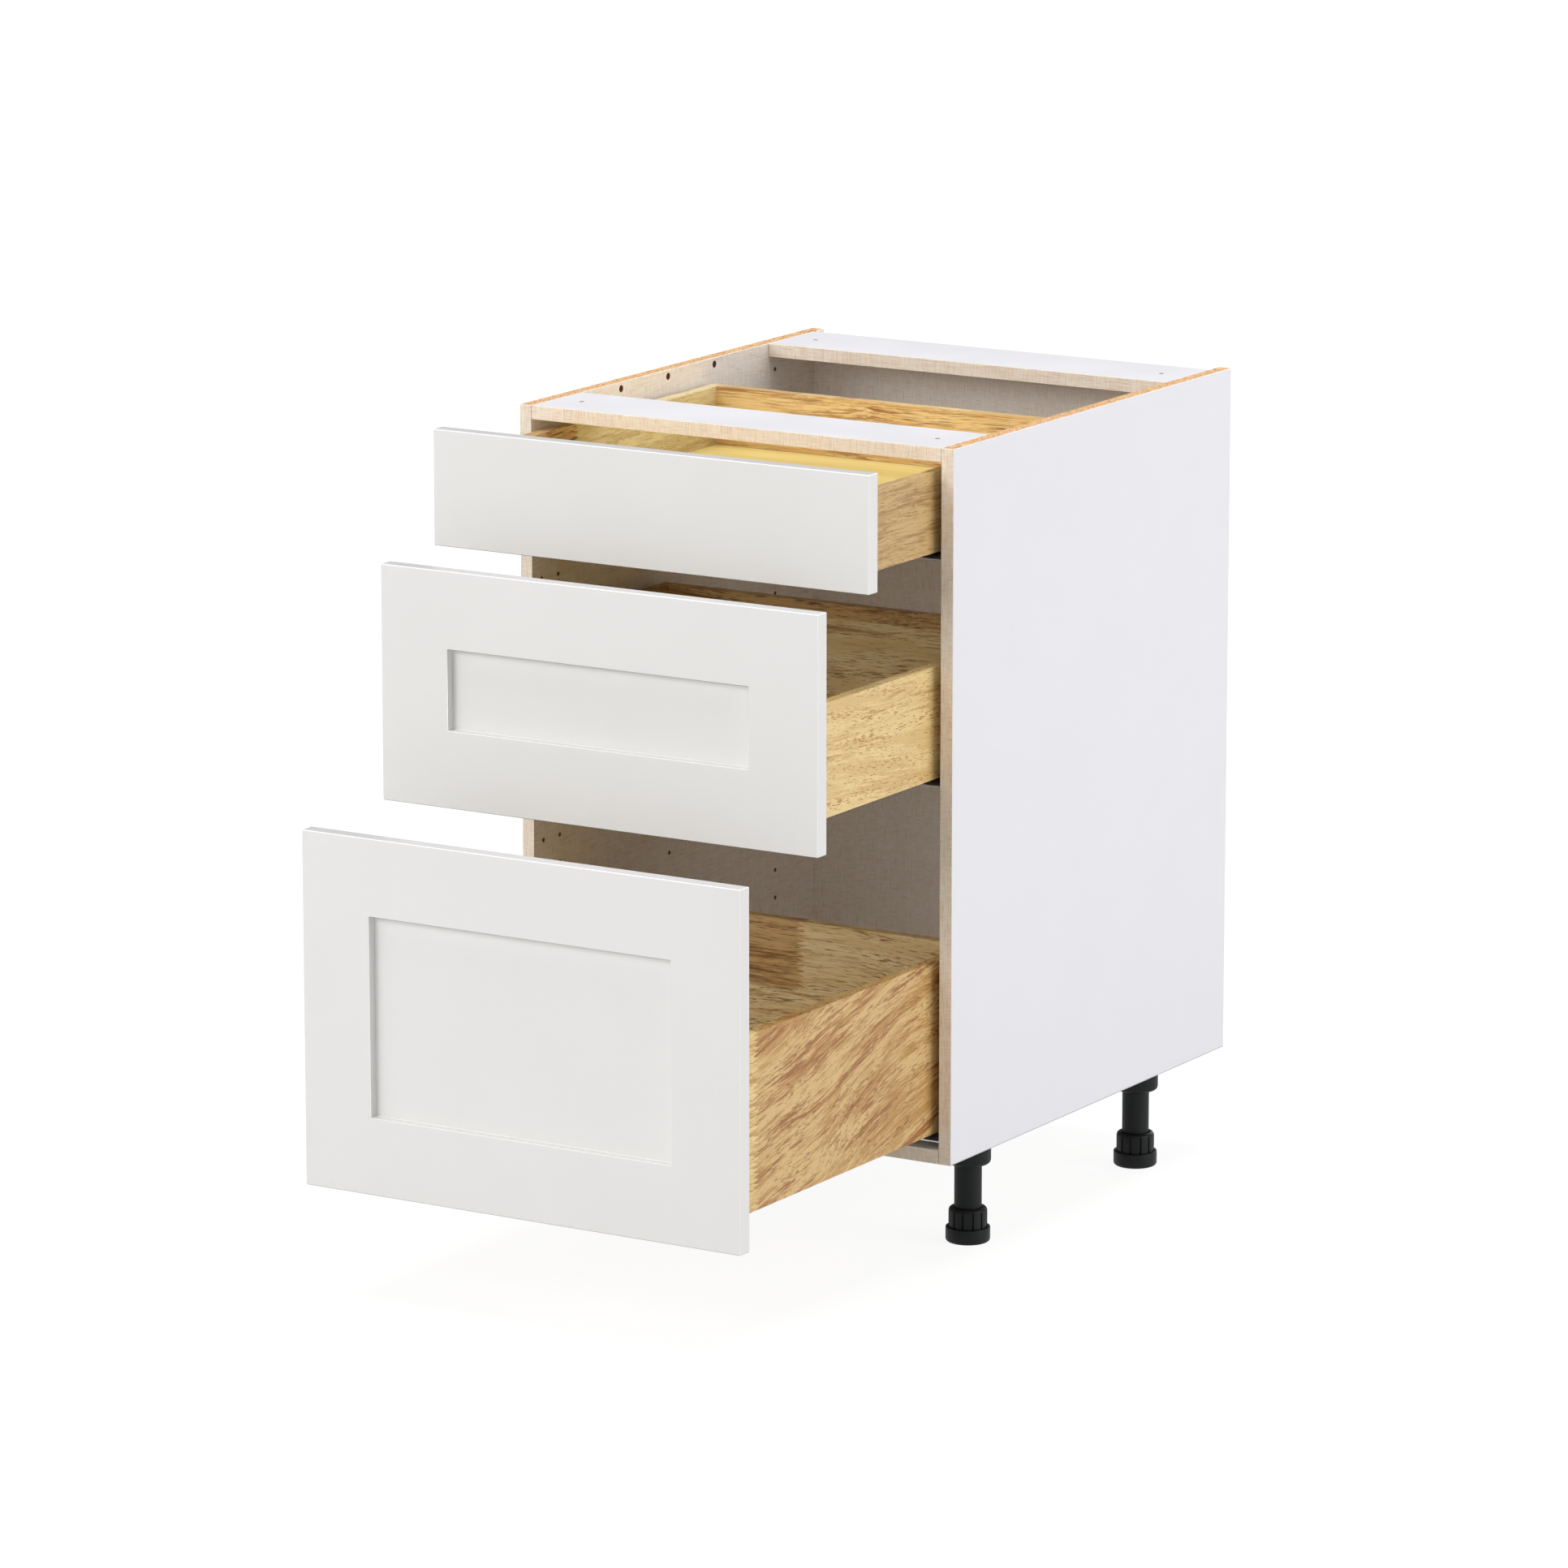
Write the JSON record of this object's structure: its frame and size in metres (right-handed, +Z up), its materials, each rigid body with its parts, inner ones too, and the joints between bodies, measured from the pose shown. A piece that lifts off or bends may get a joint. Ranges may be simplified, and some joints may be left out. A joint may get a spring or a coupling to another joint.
{
  "type": "kitchen base cabinet with drawers",
  "caption": "Frameless kitchen base cabinet on adjustable plastic legs, with painted drawer fronts and wooden drawer boxes on full-extension runners under their bottoms.",
  "frame": {"origin": "on the floor, below the middle of the whole outline with the drawers as far open as modelled", "axes": "+X to the cabinet's right as seen from its front, +Y from the drawer fronts to the wall, +Z up"},
  "size_m": [0.5334, 1.0164, 0.8763],
  "materials": {
    "white_board": "white melamine faced board, satin, raw particleboard top edges",
    "linen_board": "linen weave melamine, matt",
    "painted_front": "satin paint, warm white",
    "box_wood": "clear lacquered, finger-jointed golden hardwood",
    "box_bottom": "lacquered pale plywood",
    "runner_steel": "zinc-plated rolled sheet",
    "leg_plastic": "black moulded plastic"
  },
  "bodies": {
    "cabinet": {"left_side_panel": "white_board", "right_side_panel": "white_board", "bottom_panel": "linen_board", "back_panel": "linen_board", "front_stretcher": "white_board", "rear_stretcher": "white_board", "bottom_left_cabinet_rail": "runner_steel", "bottom_right_cabinet_rail": "runner_steel", "middle_left_cabinet_rail": "runner_steel", "middle_right_cabinet_rail": "runner_steel", "top_left_cabinet_rail": "runner_steel", "top_right_cabinet_rail": "runner_steel", "front_left_socket": "leg_plastic", "front_left_tube": "leg_plastic", "front_right_socket": "leg_plastic", "front_right_tube": "leg_plastic", "rear_left_socket": "leg_plastic", "rear_left_tube": "leg_plastic", "rear_right_socket": "leg_plastic", "rear_right_tube": "leg_plastic"},
    "bottom_drawer": {"bottom_front_frame": "painted_front", "bottom_front_panel": "painted_front", "bottom_box_left": "box_wood", "bottom_box_right": "box_wood", "bottom_box_front": "box_wood", "bottom_box_rear": "box_wood", "bottom_box_bottom": "box_bottom", "bottom_left_drawer_rail": "runner_steel", "bottom_right_drawer_rail": "runner_steel"},
    "middle_drawer": {"middle_front_frame": "painted_front", "middle_front_panel": "painted_front", "middle_box_left": "box_wood", "middle_box_right": "box_wood", "middle_box_front": "box_wood", "middle_box_rear": "box_wood", "middle_box_bottom": "box_bottom", "middle_left_drawer_rail": "runner_steel", "middle_right_drawer_rail": "runner_steel"},
    "top_drawer": {"top_front": "painted_front", "top_box_left": "box_wood", "top_box_right": "box_wood", "top_box_front": "box_wood", "top_box_rear": "box_wood", "top_box_bottom": "box_bottom", "top_left_drawer_rail": "runner_steel", "top_right_drawer_rail": "runner_steel"},
    "bottom_middle_rails": {"bottom_left_middle_rail": "runner_steel", "bottom_right_middle_rail": "runner_steel"},
    "middle_middle_rails": {"middle_left_middle_rail": "runner_steel", "middle_right_middle_rail": "runner_steel"},
    "top_middle_rails": {"top_left_middle_rail": "runner_steel", "top_right_middle_rail": "runner_steel"},
    "front_left_glide": {"front_left_foot": "leg_plastic"},
    "front_right_glide": {"front_right_foot": "leg_plastic"},
    "rear_left_glide": {"rear_left_foot": "leg_plastic"},
    "rear_right_glide": {"rear_right_foot": "leg_plastic"},
    "front_left_screw": {"front_left_adjuster": "leg_plastic"},
    "front_right_screw": {"front_right_adjuster": "leg_plastic"},
    "rear_left_screw": {"rear_left_adjuster": "leg_plastic"},
    "rear_right_screw": {"rear_right_adjuster": "leg_plastic"}
  },
  "joints": [
    {"name": "bottom_drawer_slide", "type": "slide", "parent": "cabinet", "child": "bottom_drawer", "axis": [0, -1, 0], "range_m": [-0.397, 0.103]},
    {"name": "middle_drawer_slide", "type": "slide", "parent": "cabinet", "child": "middle_drawer", "axis": [0, -1, 0], "range_m": [-0.248, 0.252]},
    {"name": "top_drawer_slide", "type": "slide", "parent": "cabinet", "child": "top_drawer", "axis": [0, -1, 0], "range_m": [-0.148, 0.352]},
    {"name": "bottom_rails_slide", "type": "slide", "parent": "cabinet", "child": "bottom_middle_rails", "axis": [0, -1, 0], "range_m": [-0.1985, 0.0515]},
    {"name": "middle_rails_slide", "type": "slide", "parent": "cabinet", "child": "middle_middle_rails", "axis": [0, -1, 0], "range_m": [-0.124, 0.126]},
    {"name": "top_rails_slide", "type": "slide", "parent": "cabinet", "child": "top_middle_rails", "axis": [0, -1, 0], "range_m": [-0.074, 0.176]},
    {"name": "front_left_height", "type": "slide", "parent": "cabinet", "child": "front_left_glide", "axis": [0, 0, -1], "range_m": [-0.01, 0.015]},
    {"name": "front_right_height", "type": "slide", "parent": "cabinet", "child": "front_right_glide", "axis": [0, 0, -1], "range_m": [-0.01, 0.015]},
    {"name": "rear_left_height", "type": "slide", "parent": "cabinet", "child": "rear_left_glide", "axis": [0, 0, -1], "range_m": [-0.01, 0.015]},
    {"name": "rear_right_height", "type": "slide", "parent": "cabinet", "child": "rear_right_glide", "axis": [0, 0, -1], "range_m": [-0.01, 0.015]},
    {"name": "front_left_turn", "type": "hinge", "parent": "front_left_glide", "child": "front_left_screw", "pos_m": [-0.2213, 0.02325, 0.02], "axis": [0, 0, -1], "range_deg": [-900, 1350]},
    {"name": "front_right_turn", "type": "hinge", "parent": "front_right_glide", "child": "front_right_screw", "pos_m": [0.2213, 0.02325, 0.02], "axis": [0, 0, -1], "range_deg": [-900, 1350]},
    {"name": "rear_left_turn", "type": "hinge", "parent": "rear_left_glide", "child": "rear_left_screw", "pos_m": [-0.2213, 0.39075, 0.02], "axis": [0, 0, -1], "range_deg": [-900, 1350]},
    {"name": "rear_right_turn", "type": "hinge", "parent": "rear_right_glide", "child": "rear_right_screw", "pos_m": [0.2213, 0.39075, 0.02], "axis": [0, 0, -1], "range_deg": [-900, 1350]}
  ],
  "couplings": [
    {"joint": "bottom_rails_slide", "follows": "bottom_drawer_slide", "ratio": 0.5},
    {"joint": "middle_rails_slide", "follows": "middle_drawer_slide", "ratio": 0.5},
    {"joint": "top_rails_slide", "follows": "top_drawer_slide", "ratio": 0.5},
    {"joint": "front_left_turn", "follows": "front_left_height", "rad_per_m": 1570.8},
    {"joint": "front_right_turn", "follows": "front_right_height", "rad_per_m": 1570.8},
    {"joint": "rear_left_turn", "follows": "rear_left_height", "rad_per_m": 1570.8},
    {"joint": "rear_right_turn", "follows": "rear_right_height", "rad_per_m": 1570.8}
  ]
}
